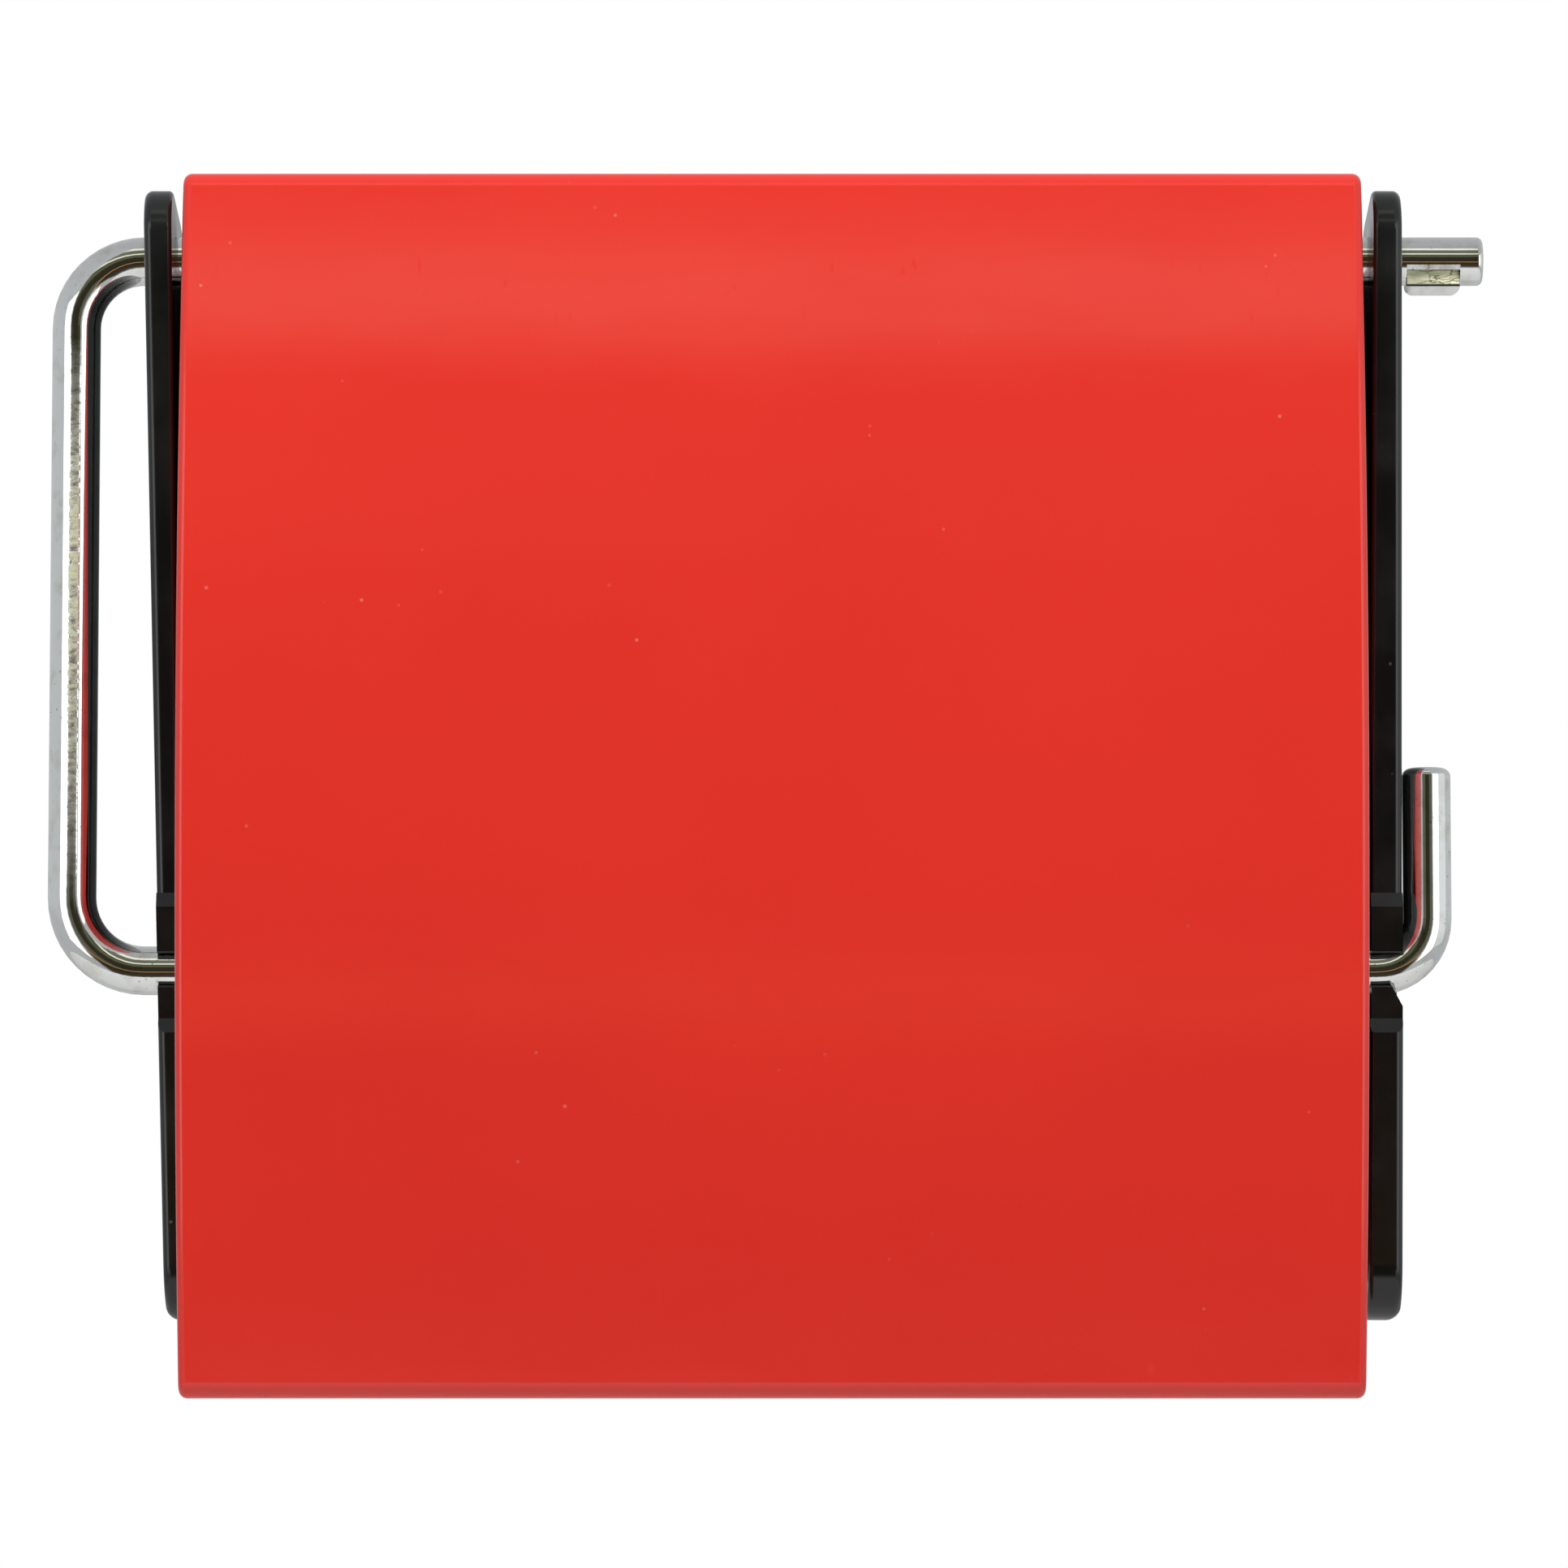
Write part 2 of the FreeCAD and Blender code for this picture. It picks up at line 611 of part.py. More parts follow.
def make_cover():
    body = new_body("cover")
    outer = plane_sketch(body, "SideView", "YZ_Plane")
    upper, lower, top_end, low_end, above = bowed_arcs(outer, zero)
    eye = dim.eye_radius.number
    corner = FreeCAD.Vector(-dim.flange_back.number, -dim.flange_corner.number, 0)
    foot = FreeCAD.Vector(-dim.foot_back.number, low_end.y, 0)
    spread = math.acos(eye / corner.Length)
    below = heading(math.atan2(corner.y, corner.x) + spread) * eye
    down = outer.addGeometry(Part.LineSegment(above, top_end))
    around = arc(outer, FreeCAD.Vector(), below, above)[0]
    slope = outer.addGeometry(Part.LineSegment(corner, below))
    rear = outer.addGeometry(Part.LineSegment(foot, corner))
    under = outer.addGeometry(Part.LineSegment(low_end, foot))
    outer.addConstraint(Sketcher.Constraint("Tangent", down, 2, upper, 1))
    outer.addConstraint(Sketcher.Constraint("Tangent", around, 2, down, 1))
    outer.addConstraint(Sketcher.Constraint("Tangent", slope, 2, around, 1))
    outer.addConstraint(Sketcher.Constraint("Coincident", around, 3, -1, 1))
    set_radius(outer, around, dim.eye_radius)
    outer.addConstraint(Sketcher.Constraint("Coincident", rear, 2, slope, 1))
    outer.addConstraint(Sketcher.Constraint("Coincident", under, 2, rear, 1))
    outer.addConstraint(Sketcher.Constraint("Coincident", under, 1, lower, 2))
    outer.addConstraint(Sketcher.Constraint("Horizontal", under))
    rule = Sketcher.Constraint("DistanceX", -1, 1, rear, 1, -dim.foot_back.number)
    bind(outer, f"Constraints[{outer.addConstraint(rule)}]", -dim.foot_back)
    place(outer, slope, 1, -dim.flange_back, -dim.flange_corner)
    block = pad(body, "Block", outer, dim.cover_width, symmetric=True)

    half_width = dim.cover_width.number / 2

    def face_edge(edge):
        curved = isinstance(edge.Curve, Part.Circle) and abs(edge.Curve.Radius - eye) > 0.1
        return curved and (lies_at(edge, "x", half_width) or lies_at(edge, "x", -half_width))

    round_edges(body, "FaceEdges", block, dim.cover_round, face_edge)

    inner = plane_sketch(body, "Inside", "YZ_Plane")
    upper, lower, top_end, low_end, touch = bowed_arcs(inner, dim.cover_wall)
    back = dim.hollow_back
    run_back = (back.number - top_end.x) / (touch.x - top_end.x)
    corners = [
        top_end,
        top_end + (touch - top_end) * run_back,
        FreeCAD.Vector(back.number, low_end.y, 0),
        low_end,
    ]
    lines = [inner.addGeometry(Part.LineSegment(*pair)) for pair in zip(corners[1:], corners)]
    ring = Part.Circle(FreeCAD.Vector(), FreeCAD.Vector(0, 0, 1), touch.Length)
    eye_ring = inner.addGeometry(ring, True)
    place(inner, eye_ring, 3, zero, zero)
    set_radius(inner, eye_ring, dim.eye_radius - dim.cover_wall)
    inner.addConstraint(Sketcher.Constraint("Tangent", lines[0], 2, upper, 1))
    inner.addConstraint(Sketcher.Constraint("Tangent", lines[0], eye_ring))
    inner.addConstraint(Sketcher.Constraint("Coincident", lines[1], 2, lines[0], 1))
    inner.addConstraint(Sketcher.Constraint("Coincident", lines[2], 2, lines[1], 1))
    inner.addConstraint(Sketcher.Constraint("Coincident", lines[2], 1, lower, 2))
    for line, direction in zip(lines[1:], ("Vertical", "Horizontal")):
        inner.addConstraint(Sketcher.Constraint(direction, line))
    rule = Sketcher.Constraint("DistanceX", -1, 1, lines[1], 1, back.number)
    bind(inner, f"Constraints[{inner.addConstraint(rule)}]", back)
    inside_width = dim.cover_width - dim.cover_wall * 2
    pocket(body, "Hollow", inner, inside_width, symmetric=True)

    for side in (1, -1):
        boss_start = (inside_width / 2 - dim.eye_boss_length) * side
        boss = plane_sketch(body, f"Boss{side + 1}", "YZ_Plane", boss_start)
        circle(boss, zero, zero, dim.eye_boss)
        pad(body, f"BossPad{side + 1}", boss, dim.eye_boss_length + dim.boss_root, backwards=side < 0)
    eyes = plane_sketch(body, "Eyes", "YZ_Plane")
    circle(eyes, zero, zero, pivot_radius)
    pocket(body, "EyeBores", eyes, dim.far * 2, symmetric=True)
    hang_on_hinge(body)
    return body


# ---- wall fixings: a countersunk screw at each end of the pattern ----

def make_screw(label, side):
    body = new_body(label)
    top = -(dim.plate_thick + dim.rib_height)
    cone_end = top + dim.head_edge + (dim.head_radius - dim.neck_radius)
    tip = top + dim.screw_length
    half = plane_sketch(body, "HalfSection", "XY_Plane")
    outline(half, [
        (zero, top),
        (dim.head_radius, top),
        (dim.head_radius, top + dim.head_edge),
        (dim.neck_radius, cone_end),
        (dim.neck_radius, dim.neck_end),
        (dim.screw_radius, dim.neck_end),
        (dim.screw_radius, tip - dim.point_length),
        (zero, tip),
    ])
    revolve(body, "Turned", half)
    cross = plane_sketch(body, "Recess", "XZ_Plane", -top)
    arm, width = dim.recess_length / 2, dim.recess_width / 2
    outline(cross, [
        (arm, -width), (arm, width), (width, width), (width, arm),
        (-width, arm), (-width, width), (-arm, width), (-arm, -width),
        (-width, -width), (-width, -arm), (width, -arm), (width, -width),
    ])
    pocket(body, "RecessCut", cross, dim.recess_depth)
    bind(body, "Placement.Base.x", dim.fixing_spacing / 2 * side)
    return body


bodies = [
    make_bracket(),
    make_clip("left_snap_clip", -1),
    make_clip("right_snap_clip", 1),
    make_arm(),
    make_cover(),
    make_screw("left_wall_screw", -1),
    make_screw("right_wall_screw", 1),
]
doc.recompute()

faults = [item.Name for item in doc.Objects if {"Invalid", "Error"} & set(item.State)]
for body in bodies:
    shape = body.Shape
    if shape.isNull() or not shape.isValid() or len(shape.Solids) != 1:
        faults.append(body.Label)
if faults:
    raise RuntimeError(f"failed: {faults}")

os.makedirs("parts", exist_ok=True)
for body in bodies:
    box = body.Shape.BoundBox
    body.Shape.exportStep(f"parts/{body.Label}.step")
    print(f"{body.Label}: {body.Shape.Volume / 1000:.2f} cm3, x {box.XMin:.1f} {box.XMax:.1f}, "
          f"y {box.YMin:.1f} {box.YMax:.1f}, z {box.ZMin:.1f} {box.ZMax:.1f}")
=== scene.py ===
import math

import bpy
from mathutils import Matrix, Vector


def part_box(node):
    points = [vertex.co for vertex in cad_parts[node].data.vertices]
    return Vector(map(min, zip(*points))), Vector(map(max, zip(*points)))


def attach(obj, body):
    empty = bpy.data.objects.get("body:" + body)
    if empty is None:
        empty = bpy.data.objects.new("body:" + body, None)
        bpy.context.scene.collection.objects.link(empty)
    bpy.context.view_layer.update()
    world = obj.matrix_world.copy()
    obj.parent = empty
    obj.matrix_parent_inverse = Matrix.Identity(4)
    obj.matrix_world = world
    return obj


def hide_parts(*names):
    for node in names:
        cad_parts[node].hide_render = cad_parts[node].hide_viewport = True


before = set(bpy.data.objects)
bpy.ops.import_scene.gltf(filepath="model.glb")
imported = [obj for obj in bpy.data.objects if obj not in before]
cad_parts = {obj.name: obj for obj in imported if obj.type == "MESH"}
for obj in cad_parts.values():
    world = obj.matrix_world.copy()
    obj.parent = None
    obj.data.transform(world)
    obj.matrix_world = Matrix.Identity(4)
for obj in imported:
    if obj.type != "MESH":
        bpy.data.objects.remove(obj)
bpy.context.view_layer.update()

print("frame loaded")


def newMaterial(name):
    made = bpy.data.materials.new(name)
    made.use_nodes = True
    shader = next(n for n in made.node_tree.nodes if n.type == "BSDF_PRINCIPLED")
    return made, shader


def addNode(tree, kind, **values):
    # each value is the node's own setting or, failing that, one of its inputs
    made = tree.nodes.new(kind)
    for key, value in values.items():
        if hasattr(made, key):
            setattr(made, key, value)
        else:
            made.inputs[key].default_value = value
    return made


def objectPoint(tree, stretch=(1, 1, 1), turn=(0, 0, 0)):
    where = addNode(tree, "ShaderNodeTexCoord")
    mapping = addNode(tree, "ShaderNodeMapping", Scale=stretch, Rotation=turn)
    tree.links.new(where.outputs["Object"], mapping.inputs["Vector"])
    return mapping.outputs["Vector"]


def axes(tree, output):
    # the x, y and z of a Texture Coordinate output
    parts = addNode(tree, "ShaderNodeSeparateXYZ")
    where = addNode(tree, "ShaderNodeTexCoord")
    tree.links.new(where.outputs[output], parts.inputs["Vector"])
    return parts.outputs["X"], parts.outputs["Y"], parts.outputs["Z"]


def noise(tree, point, size, detail=2.0, roughness=0.5):
    made = addNode(tree, "ShaderNodeTexNoise", Scale=size, Detail=detail, Roughness=roughness)
    tree.links.new(point, made.inputs["Vector"])
    return made.outputs["Fac"]


def mapRange(tree, source, low, high, toLow, toHigh, smooth=False):
    made = addNode(tree, "ShaderNodeMapRange")
    made.interpolation_type = "SMOOTHSTEP" if smooth else "LINEAR"
    made.inputs["From Min"].default_value = low
    made.inputs["From Max"].default_value = high
    made.inputs["To Min"].default_value = toLow
    made.inputs["To Max"].default_value = toHigh
    tree.links.new(source, made.inputs["Value"])
    return made.outputs["Result"]


def calc(tree, operation, first, second=0):
    made = addNode(tree, "ShaderNodeMath")
    made.operation = operation
    for socket, value in zip(made.inputs, (first, second)):
        if isinstance(value, (int, float)):
            socket.default_value = value
        else:
            tree.links.new(value, socket)
    return made.outputs["Value"]


def product(tree, first, *others):
    for other in others:
        first = calc(tree, "MULTIPLY", first, other)
    return first


def away(tree, value, middle):
    # how far a value is from the middle, either way
    return calc(tree, "ABSOLUTE", calc(tree, "SUBTRACT", value, middle))


def mixColour(tree, share, first, second):
    made = addNode(tree, "ShaderNodeMix", data_type="RGBA")
    tree.links.new(share, made.inputs["Factor"])
    sockets = [s for s in made.inputs if s.type == "RGBA"]
    for socket, value in zip(sockets, (first, second)):
        if isinstance(value, tuple):
            socket.default_value = (*value, 1)
        else:
            tree.links.new(value, socket)
    return next(s for s in made.outputs if s.type == "RGBA")


def bump(tree, height, distance):
    made = addNode(tree, "ShaderNodeBump", Distance=distance)
    tree.links.new(height, made.inputs["Height"])
    return made.outputs["Normal"]


def specks(tree, point, size, start, end):
    # small separate dots: 1 inside a speck, 0 around it
    made = addNode(tree, "ShaderNodeTexVoronoi", Scale=size)
    tree.links.new(point, made.inputs["Vector"])
    return mapRange(tree, made.outputs["Distance"], start, end, 1, 0)


# in every dictionary, a name that ends in "PerMetre" says how fine a pattern is,
# and lengths are in metres

cover = {
    "red": (0.79, 0.036, 0.024),
    "deepRed": (0.76, 0.033, 0.023),
    "cloudsPerMetre": 22,
    "dust": (0.80, 0.22, 0.19),
    "dustPerMetre": 420,
    "dustCloudsPerMetre": 75,
    "dustShare": 0.7,
    "roughness": 0.09,
    "smearsPerMetre": 60,
    "smearRoughness": 0.06,       # added where the gloss is smeared
    "scratchesPerMetre": 1400,
    "scratchStretch": (1, 1, 0.03),
    "scratchTurn": (0, 0.25, 0),
    "scratchRoughness": 0.12,     # added in the hairline scratches
    "wavesPerMetre": 13,
    "waviness": 0.00022,
    "orangePeelPerMetre": 90,
    "orangePeel": 0.00002,
    "ior": 1.5,
}


def glossRed():
    made, shader = newMaterial("glossRed")
    tree = made.node_tree
    point = objectPoint(tree)
    cloud = noise(tree, point, cover["cloudsPerMetre"])
    base = mixColour(tree, mapRange(tree, cloud, 0.35, 0.65, 0, 1), cover["red"], cover["deepRed"])
    # a few dust specks, thinned out by a broad cloud
    dots = specks(tree, point, cover["dustPerMetre"], 0.05, 0.10)
    broadCloud = noise(tree, point, cover["dustCloudsPerMetre"], 3)
    sparse = mapRange(tree, broadCloud, 0.60, 0.68, 0, cover["dustShare"])
    base = mixColour(tree, product(tree, dots, sparse), base, cover["dust"])
    tree.links.new(base, shader.inputs["Base Color"])

    smear = noise(tree, objectPoint(tree, (1, 1, 4)), cover["smearsPerMetre"], 4)
    along = objectPoint(tree, cover["scratchStretch"], cover["scratchTurn"])
    scratch = noise(tree, along, cover["scratchesPerMetre"], 2)
    smeared = cover["roughness"] + cover["smearRoughness"]
    haze = mapRange(tree, smear, 0.3, 0.7, cover["roughness"], smeared)
    hairlines = mapRange(tree, scratch, 0.70, 0.74, 0, cover["scratchRoughness"])
    tree.links.new(calc(tree, "ADD", haze, hairlines), shader.inputs["Roughness"])

    waves = noise(tree, point, cover["wavesPerMetre"], 1)
    broad = product(tree, waves, cover["waviness"] / cover["orangePeel"])
    surface = calc(tree, "ADD", broad, noise(tree, point, cover["orangePeelPerMetre"], 2))
    tree.links.new(bump(tree, surface, cover["orangePeel"]), shader.inputs["Normal"])
    shader.inputs["IOR"].default_value = cover["ior"]
    return made


bracket = {
    "black": (0.0062, 0.0070, 0.0070),
    "dusty": (0.014, 0.0155, 0.0155),
    "cloudsPerMetre": 150,
    "dust": (0.12, 0.12, 0.11),
    "dustPerMetre": 600,
    "dustCloudsPerMetre": 110,
    "roughness": 0.13,
    "dustyRoughness": 0.12,       # added where the dust lies thicker
    "grainPerMetre": 260,
    "grain": 0.00002,
}


def glossBlack():
    made, shader = newMaterial("glossBlack")
    tree = made.node_tree
    point = objectPoint(tree)
    cloud = noise(tree, point, bracket["cloudsPerMetre"], 5)
    base = mixColour(tree, mapRange(tree, cloud, 0.45, 0.75, 0, 1),
                     bracket["black"], bracket["dusty"])
    dots = specks(tree, point, bracket["dustPerMetre"], 0.05, 0.12)
    broadCloud = noise(tree, point, bracket["dustCloudsPerMetre"], 2)
    sparse = mapRange(tree, broadCloud, 0.58, 0.66, 0, 1)
    base = mixColour(tree, product(tree, dots, sparse), base, bracket["dust"])
    tree.links.new(base, shader.inputs["Base Color"])
    dusty = bracket["roughness"] + bracket["dustyRoughness"]
    tree.links.new(mapRange(tree, cloud, 0.3, 0.7, bracket["roughness"], dusty),
                   shader.inputs["Roughness"])
    grain = noise(tree, point, bracket["grainPerMetre"], 3)
    tree.links.new(bump(tree, grain, bracket["grain"]), shader.inputs["Normal"])
    return made


arm = {
    "chrome": (0.80, 0.81, 0.80),
    "dull": (0.60, 0.60, 0.54),
    "cloudsPerMetre": 500,
    "pit": (0.20, 0.18, 0.13),
    "pitsPerMetre": 1500,
    "pitCloudsPerMetre": 160,
    "pitShare": 0.6,
    "roughness": 0.035,
    "wornRoughness": 0.05,        # added where the plating has dulled
    "paintedLightRoughness": 0.35,        # added in the ear's painted highlight and the side run's painted reflection
    # metallic in the ear's painted highlight and the side run's painted reflection
    "paintedLightMetallic": 0.15,
    "grainPerMetre": 260,
    "grain": 0.000012,
    "creases": 0.0009,            # relief of the crumpled ear
    "foldsPerMetre": (380, 380, 1500),
    "foldTurn": (0, 0.16, 0),
    "wireRadius": 0.0025,
    "earX": (0.0653, 0.0708),     # pinched stretch of the hinge bar
    "earDrop": (0.0009, 0.00245),               # its crumpled face, below the hinge axis
    "earEdge": 0.00008,
    # painted highlight: the ear's crumpled face is painted a bright cream
    "earPaintedHighlight": (1.0, 1.0, 0.70),
    # painted shade in the ear's creases
    "creasePaintedShade": (0.09, 0.08, 0.04),
    "creaseShadeShare": 0.9,
    "runX": -0.0716,              # middle of the painted reflection strip down the side run
    "runWidth": 0.0011,
    "runEdge": 0.0001,
    "runDrop": (0.008, 0.028, 0.038, 0.066),    # the painted reflection starts, is full, fades, is gone
    # colour of the painted reflection on the side run
    "runPaintedReflection": (0.66, 0.68, 0.46),
    "cracklePerMetre": (900, 900, 1700),
    "crackleRelief": 0.1,         # share of the ear's relief
}


def crumpledEar(tree, across, drop):
    # the tool that pinched the ear left its face crumpled; the lines along its creases are painted
    # dark as painted shade
    edge = arm["earEdge"]
    inEar = 1
    for value, (low, high) in ((across, arm["earX"]), (drop, arm["earDrop"])):
        inEar = product(tree, inEar, mapRange(tree, value, low, low + edge, 0, 1),
                        mapRange(tree, value, high - edge, high, 1, 0))
    folds = noise(tree, objectPoint(tree, arm["foldsPerMetre"], arm["foldTurn"]), 1, 2)
    paintedCreaseShade = mapRange(tree, away(tree, folds, 0.5), 0.006, 0.024, 1, 0)
    return inEar, folds, paintedCreaseShade


def paintedReflectionStrip(tree, across, drop):
    # painted reflection: a crackled olive-cream band painted over the middle of the side run's
    # front, where it faces forward
    facing = axes(tree, "Normal")[1]
    half = arm["runWidth"] / 2
    start, full, fading, gone = arm["runDrop"]
    strip = mapRange(tree, away(tree, across, arm["runX"]), half - arm["runEdge"], half, 1, 0)
    strip = product(tree, strip, mapRange(tree, facing, -0.7, -0.5, 1, 0),
                    mapRange(tree, drop, start, full, 0, 1),
                    mapRange(tree, drop, fading, gone, 1, 0))
    crackle = noise(tree, objectPoint(tree, arm["cracklePerMetre"]), 1, 4, 0.6)
    return product(tree, strip, mapRange(tree, crackle, 0.35, 0.6, 0.25, 1)), crackle


def chromePlate():
    made, shader = newMaterial("chromePlate")
    tree = made.node_tree
    point = objectPoint(tree)
    cloud = noise(tree, point, arm["cloudsPerMetre"], 4)
    base = mixColour(tree, mapRange(tree, cloud, 0.5, 0.8, 0, 1), arm["chrome"], arm["dull"])
    broadCloud = noise(tree, point, arm["pitCloudsPerMetre"], 3)
    pits = product(tree, specks(tree, point, arm["pitsPerMetre"], 0.10, 0.22),
                   mapRange(tree, broadCloud, 0.52, 0.62, 0, 1))
    base = mixColour(tree, product(tree, pits, arm["pitShare"]), base, arm["pit"])

    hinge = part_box("roll_arm")[1][2] - arm["wireRadius"]
    across, _, up = axes(tree, "Object")
    drop = calc(tree, "SUBTRACT", hinge, up)
    inEar, folds, paintedCreaseShade = crumpledEar(tree, across, drop)
    paintedReflection, crackle = paintedReflectionStrip(tree, across, drop)
    # painted highlight: the ear's face painted cream
    base = mixColour(tree, inEar, base, arm["earPaintedHighlight"])
    # painted shade: dark lines along the ear's creases
    base = mixColour(tree, product(tree, inEar, paintedCreaseShade, arm["creaseShadeShare"]),
                     base, arm["creasePaintedShade"])
    # painted reflection: olive-cream band down the side run's front
    base = mixColour(tree, paintedReflection, base, arm["runPaintedReflection"])
    tree.links.new(base, shader.inputs["Base Color"])
    # where the painted highlight and painted reflection lie, made rougher and nearly non-metallic
    paintedLightMask = calc(tree, "MAXIMUM", inEar, paintedReflection)
    tree.links.new(mapRange(tree, paintedLightMask, 0, 1, 1, arm["paintedLightMetallic"]), shader.inputs["Metallic"])

    dulled = arm["roughness"] + arm["wornRoughness"]
    worn = mapRange(tree, cloud, 0.3, 0.8, arm["roughness"], dulled)
    worn = calc(tree, "ADD", worn, product(tree, paintedLightMask, arm["paintedLightRoughness"]))
    tree.links.new(worn, shader.inputs["Roughness"])

    fine = bump(tree, noise(tree, point, arm["grainPerMetre"], 3), arm["grain"])
    relief = calc(tree, "ADD", product(tree, inEar, folds),
                  product(tree, paintedReflection, product(tree, crackle, arm["crackleRelief"])))
    creased = addNode(tree, "ShaderNodeBump", Distance=arm["creases"])
    tree.links.new(relief, creased.inputs["Height"])
    tree.links.new(fine, creased.inputs["Normal"])
    tree.links.new(creased.outputs["Normal"], shader.inputs["Normal"])
    return made


screw = {
    "zinc": (0.62, 0.62, 0.60),
    "stained": (0.42, 0.40, 0.36),
    "cloudsPerMetre": 600,
    "roughness": 0.28,
    "stainedRoughness": 0.15,     # added where it is stained
    "grainPerMetre": 900,
    "grain": 0.00002,
    "spacing": 0.080,
    "headRadius": 0.004,
    "headRim": 0.0005,
    "neckRadius": 0.00145,
    "neckEnd": 0.0005,            # where the thread starts, behind the wall plane
    "coreRadius": 0.0014,
    "crestRadius": 0.00197,
    "pitch": 0.0018,
    "stepsPerTurn": 20,
    "threadEnd": 0.0228,
    "tip": 0.0254,
    "tipShrink": 0.06,
    "front": -0.0045,
    "crossLength": 0.0042,
    "crossWidth": 0.0009,
    "crossDepth": 0.0017,
    "sides": 48,
    "smoothAngle": 35,            # degrees
}


def zincSteel():
    made, shader = newMaterial("zincSteel")
    tree = made.node_tree
    point = objectPoint(tree)
    cloud = noise(tree, point, screw["cloudsPerMetre"], 4)
    base = mixColour(tree, mapRange(tree, cloud, 0.4, 0.7, 0, 1), screw["zinc"], screw["stained"])
    tree.links.new(base, shader.inputs["Base Color"])
    shader.inputs["Metallic"].default_value = 1
    stained = screw["roughness"] + screw["stainedRoughness"]
    tree.links.new(mapRange(tree, cloud, 0.3, 0.7, screw["roughness"], stained),
                   shader.inputs["Roughness"])
    grain = noise(tree, point, screw["grainPerMetre"], 3)
    tree.links.new(bump(tree, grain, screw["grain"]), shader.inputs["Normal"])
    return made


def selectNothing():
    bpy.ops.object.select_all(action="DESELECT")


def selectOnly(*chosen):
    selectNothing()
    for one in chosen:
        one.select_set(True)
    bpy.context.view_layer.objects.active = chosen[0]


def applyPlace():
    bpy.ops.object.transform_apply(location=True, rotation=True, scale=True)


def turnedScrew(name, across):
    # head, neck and core: a disc drawn out along the screw in steps
    selectNothing()
    bpy.ops.mesh.primitive_circle_add(
        vertices=screw["sides"], radius=screw["headRadius"], fill_type="NGON",
        location=(across, screw["front"], 0), rotation=(math.pi / 2, 0, 0))
    body = bpy.context.object
    body.name = name
    applyPlace()
    cone = screw["headRadius"] - screw["neckRadius"]
    neckStart = screw["front"] + screw["headRim"] + cone
    steps = [                     # length of each step, and how far it narrows by its end
        (screw["headRim"], 1),
        (cone, screw["neckRadius"] / screw["headRadius"]),
        (screw["neckEnd"] - neckStart, screw["coreRadius"] / screw["neckRadius"]),
        (screw["threadEnd"] - screw["neckEnd"], 1),
        (screw["tip"] - screw["threadEnd"], screw["tipShrink"]),
    ]
    bpy.ops.object.mode_set(mode="EDIT")
    bpy.ops.mesh.select_all(action="SELECT")
    bpy.ops.mesh.duplicate()
    place = screw["front"]
    for along, shrink in steps:
        bpy.ops.mesh.extrude_region_move(TRANSFORM_OT_translate={"value": (0, along, 0)})
        place += along
        bpy.ops.transform.resize(value=(shrink, 1, shrink), center_override=(across, place, 0))
    bpy.ops.mesh.select_all(action="SELECT")
    bpy.ops.mesh.remove_doubles(threshold=0.00001)
    bpy.ops.mesh.normals_make_consistent(inside=False)
    bpy.ops.object.mode_set(mode="OBJECT")
    return body


def cutCross(body, across):
    # the driver's cross, cut by two crossed bars
    long, wide = screw["crossLength"], screw["crossWidth"]
    for width, height in ((long, wide), (wide, long)):
        selectNothing()
        bpy.ops.mesh.primitive_cube_add(size=1, location=(across, screw["front"], 0))
        bar = bpy.context.object
        bar.scale = (width, screw["crossDepth"] * 2, height)
        applyPlace()
        cut = body.modifiers.new("cross", "BOOLEAN")
        cut.operation = "DIFFERENCE"
        cut.solver = "EXACT"
        cut.object = bar
        selectOnly(body)
        bpy.ops.object.modifier_apply(modifier="cross")
        bpy.data.objects.remove(bar)


def woundThread(across):
    # a small triangle wound along the core: one corner points outwards,
    # and the side across from it is sunk into the core
    depth = screw["crestRadius"] - screw["coreRadius"]
    start = screw["neckEnd"] + depth
    selectNothing()
    bpy.ops.mesh.primitive_circle_add(
        vertices=3, radius=depth, fill_type="NOTHING",
        location=(screw["coreRadius"], start, 0), rotation=(0, 0, -math.pi / 2))
    thread = bpy.context.object
    applyPlace()
    wind = thread.modifiers.new("wind", "SCREW")
    wind.axis = "Y"
    wind.screw_offset = screw["pitch"]
    wind.iterations = int((screw["threadEnd"] - depth - start) / screw["pitch"])
    wind.steps = wind.render_steps = screw["stepsPerTurn"]
    wind.use_merge_vertices = False
    selectOnly(thread)
    bpy.ops.object.modifier_apply(modifier="wind")
    bpy.ops.object.mode_set(mode="EDIT")
    bpy.ops.mesh.select_all(action="DESELECT")
    bpy.ops.mesh.select_non_manifold(extend=False)
    bpy.ops.mesh.fill_holes(sides=3)
    bpy.ops.mesh.select_all(action="SELECT")
    bpy.ops.mesh.normals_make_consistent(inside=False)
    bpy.ops.object.mode_set(mode="OBJECT")
    thread.location = (across, 0, 0)
    applyPlace()
    return thread


zinc = zincSteel()
for side, node in ((-1, "left_wall_screw"), (1, "right_wall_screw")):
    across = screw["spacing"] / 2 * side
    body = turnedScrew(node.replace("wall", "threaded"), across)
    cutCross(body, across)
    selectOnly(body, woundThread(across))
    bpy.ops.object.join()
    bpy.ops.object.shade_smooth_by_angle(angle=math.radians(screw["smoothAngle"]))
    body.data.materials.clear()
    body.data.materials.append(zinc)
    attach(body, "bracket")
    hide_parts(node)
print("screws done")


def dress(material, *names):
    for name in names:
        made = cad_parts[name]
        if not made.material_slots:
            made.data.materials.append(material)
        for slot in made.material_slots:
            slot.material = material


dress(glossRed(), "cover")
dress(glossBlack(), "wall_bracket", "left_snap_clip", "right_snap_clip")
dress(chromePlate(), "roll_arm")
print("finishes done")


